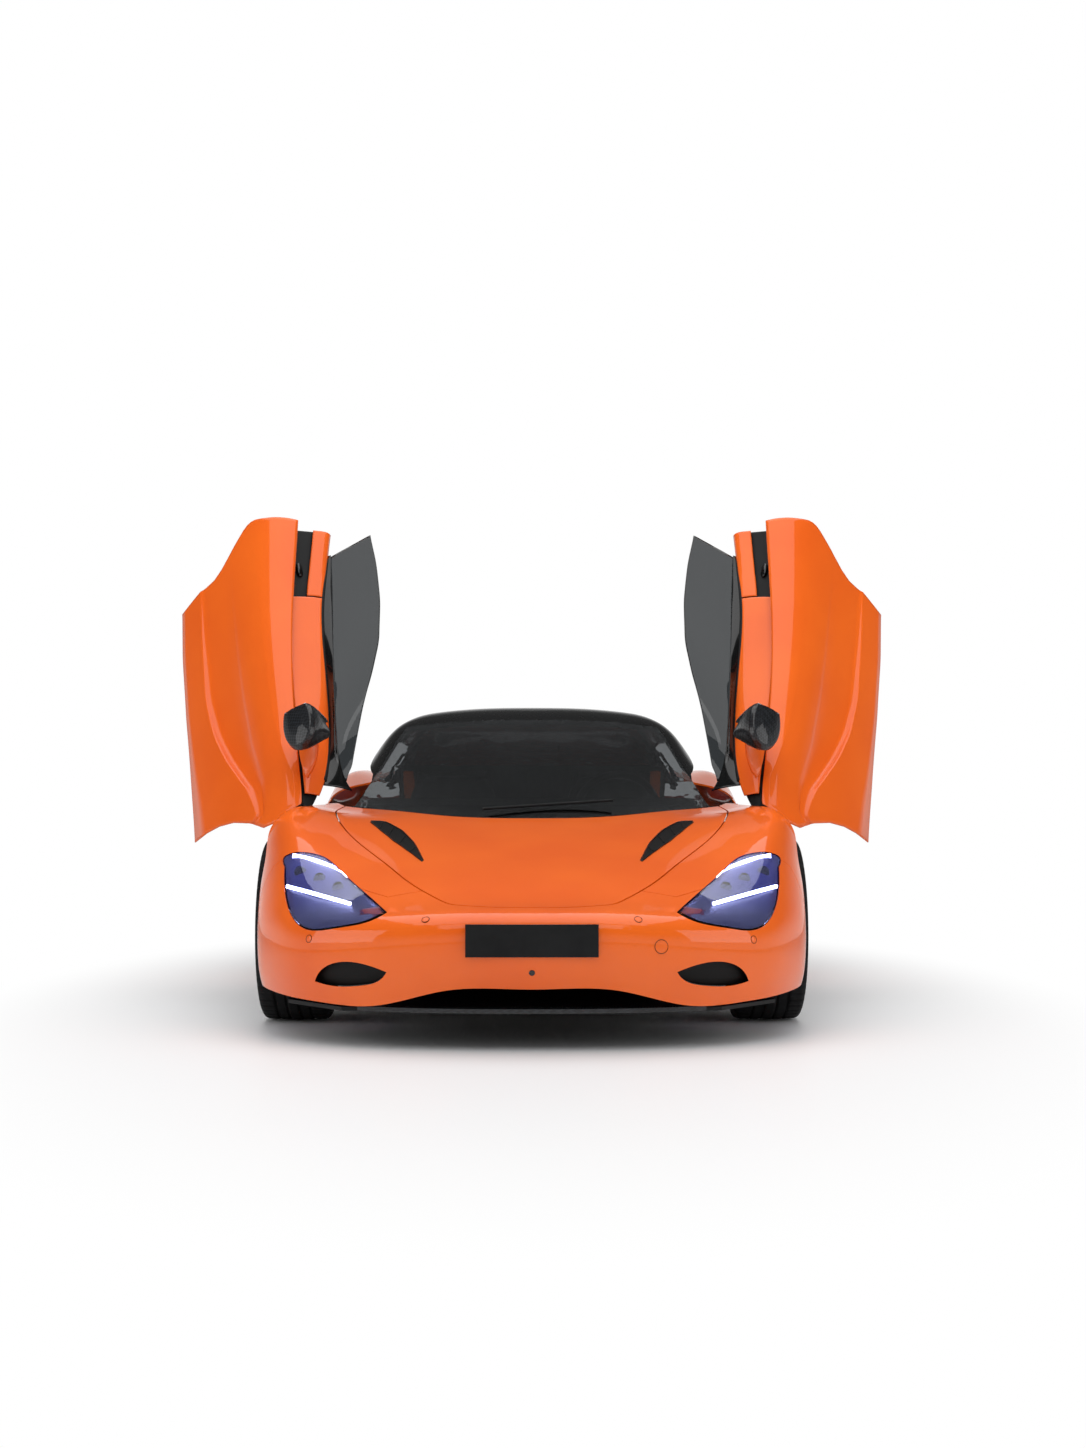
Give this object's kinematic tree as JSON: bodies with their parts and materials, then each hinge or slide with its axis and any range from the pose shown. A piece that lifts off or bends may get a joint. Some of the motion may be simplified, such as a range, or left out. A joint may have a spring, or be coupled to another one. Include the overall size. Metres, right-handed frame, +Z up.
{
  "type": "mid-engined two-seat supercar with a folding hard top and upward-opening doors",
  "caption": "Mid-engined two-seat supercar, body in painted panels, doors swung up and forward, turning wheels, steering, bonnet and rear wing.",
  "frame": {"origin": "on the floor below the middle of the car's overall box", "axes": "+Z up, -Y is the way the car faces, +X is the car's left"},
  "size_m": [2.9762, 4.5732, 2.0258],
  "materials": {
    "orange_paint": "gloss",
    "black_gloss": "gloss",
    "carbon": "satin",
    "trim_black": "satin",
    "glass": "clear",
    "lamp_glass": "clear",
    "tail_lamp": "gloss",
    "tyre": "matte",
    "rim": "gloss",
    "brake": "machined",
    "calliper": "painted",
    "aluminium": "cast",
    "leather": "grained",
    "exhaust": "brushed",
    "engine": "cast"
  },
  "bodies": {
    "car": {"front_fenders": "orange_paint", "front_bumper": "orange_paint", "headlamp_lenses": "lamp_glass", "headlamp_housings": "black_gloss", "front_intake_grilles": "trim_black", "windscreen": "glass", "windscreen_frame": "black_gloss", "hard_top": "black_gloss", "tonneau_cover": "orange_paint", "rear_quarters": "orange_paint", "rear_deck": "orange_paint", "rear_bumper": "orange_paint", "rear_mesh": "trim_black", "tail_lamps": "tail_lamp", "rear_diffuser": "carbon", "underfloor": "carbon", "monocoque_tub": "carbon", "luggage_tub": "trim_black", "engine_block": "engine", "dashboard": "leather", "seats": "leather", "side_skirts": "carbon", "front_splitter": "carbon", "arch_liners": "trim_black", "exhaust_tips": "exhaust", "wiper": "trim_black", "rear_uprights": "aluminium", "suspension_arms": "aluminium", "steering_column": "trim_black", "number_plate": "trim_black"},
    "door_left": {"door_left_skin": "orange_paint", "door_left_inner": "carbon", "door_left_glass": "glass", "door_left_mirror": "black_gloss"},
    "knuckle_left": {"front_upright_left": "aluminium"},
    "wheel_front_left": {"tyre_front_left": "tyre", "rim_front_left": "rim", "brake_disc_front_left": "brake"},
    "wheel_rear_left": {"tyre_rear_left": "tyre", "rim_rear_left": "rim", "brake_disc_rear_left": "brake"},
    "door_right": {"door_right_skin": "orange_paint", "door_right_inner": "carbon", "door_right_glass": "glass", "door_right_mirror": "black_gloss"},
    "knuckle_right": {"front_upright_right": "aluminium"},
    "wheel_front_right": {"tyre_front_right": "tyre", "rim_front_right": "rim", "brake_disc_front_right": "brake"},
    "wheel_rear_right": {"tyre_rear_right": "tyre", "rim_rear_right": "rim", "brake_disc_rear_right": "brake"},
    "bonnet_lid": {"bonnet": "orange_paint"},
    "wing": {"rear_wing": "orange_paint"},
    "steering": {"steering_wheel": "leather"}
  },
  "joints": [
    {"name": "door_right_hinge", "type": "hinge", "parent": "car", "child": "door_right", "pos_m": [-0.832, -0.86535, 0.755], "axis": [-0.6804, -0.5553, -0.4783], "range_deg": [0, 80]},
    {"name": "door_left_hinge", "type": "hinge", "parent": "car", "child": "door_left", "pos_m": [0.832, -0.86535, 0.755], "axis": [-0.6804, 0.5553, 0.4783], "range_deg": [0, 80]},
    {"name": "bonnet_hinge", "type": "hinge", "parent": "car", "child": "bonnet_lid", "pos_m": [0, -0.90335, 0.778], "axis": [-1, 0, 0], "range_deg": [0, 60]},
    {"name": "wing_hinge", "type": "hinge", "parent": "car", "child": "wing", "pos_m": [0, 1.97665, 0.897], "axis": [1, 0, 0], "range_deg": [0, 30]},
    {"name": "steer_left", "type": "hinge", "parent": "car", "child": "knuckle_left", "pos_m": [0.752, -1.21835, 0.327], "axis": [0, 0, 1], "range_deg": [-28, 28]},
    {"name": "steer_right", "type": "hinge", "parent": "car", "child": "knuckle_right", "pos_m": [-0.752, -1.21835, 0.327], "axis": [0, 0, 1], "range_deg": [-28, 28]},
    {"name": "steering_wheel_turn", "type": "hinge", "parent": "car", "child": "steering", "pos_m": [0.35, -0.31335, 0.745], "axis": [0, 0.9272, 0.3746], "range_deg": [-400, 400]},
    {"name": "wheel_front_left_spin", "type": "hinge", "parent": "knuckle_left", "child": "wheel_front_left", "pos_m": [0.84, -1.21835, 0.327], "axis": [1, 0, 0], "continuous": true},
    {"name": "wheel_rear_left_spin", "type": "hinge", "parent": "car", "child": "wheel_rear_left", "pos_m": [0.8145, 1.45165, 0.3455], "axis": [1, 0, 0], "continuous": true},
    {"name": "wheel_front_right_spin", "type": "hinge", "parent": "knuckle_right", "child": "wheel_front_right", "pos_m": [-0.84, -1.21835, 0.327], "axis": [1, 0, 0], "continuous": true},
    {"name": "wheel_rear_right_spin", "type": "hinge", "parent": "car", "child": "wheel_rear_right", "pos_m": [-0.8145, 1.45165, 0.3455], "axis": [1, 0, 0], "continuous": true}
  ],
  "couplings": [
    {"joint": "steer_right", "follows": "steer_left", "ratio": 1},
    {"joint": "steering_wheel_turn", "follows": "steer_left", "ratio": 14}
  ]
}
